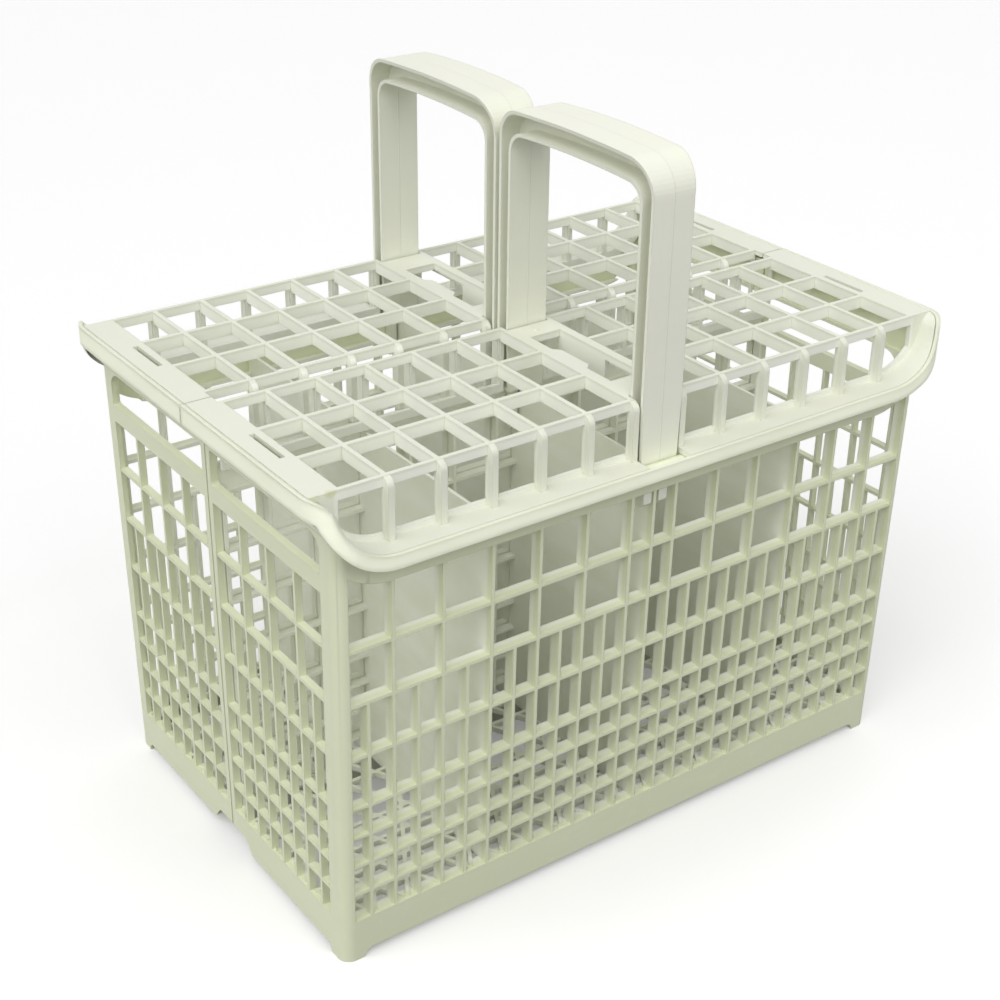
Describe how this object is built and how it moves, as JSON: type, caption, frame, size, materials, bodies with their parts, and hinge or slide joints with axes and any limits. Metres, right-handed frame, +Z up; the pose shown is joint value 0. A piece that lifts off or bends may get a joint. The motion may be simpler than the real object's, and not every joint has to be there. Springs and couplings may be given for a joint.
{
  "type": "dishwasher cutlery basket",
  "caption": "Two-part lattice cutlery basket: each half has compartments, a snap-in lid grid with a dipped rim and a tall carrying handle.",
  "frame": {"origin": "middle of the footprint, on the plane of the feet", "axes": "+X along the basket's length, +Y from the front half to the rear half, +Z up"},
  "size_m": [0.2408, 0.1634, 0.2373],
  "materials": {
    "basket": "satin ivory moulded polypropylene",
    "lid": "satin off-white moulded polypropylene",
    "handle": "satin ivory moulded polypropylene"
  },
  "bodies": {
    "root": {"rear_basket": "basket", "front_basket": "basket", "rear_lid": "lid", "front_lid": "lid", "rear_handle": "handle", "front_handle": "handle"}
  },
  "joints": []
}
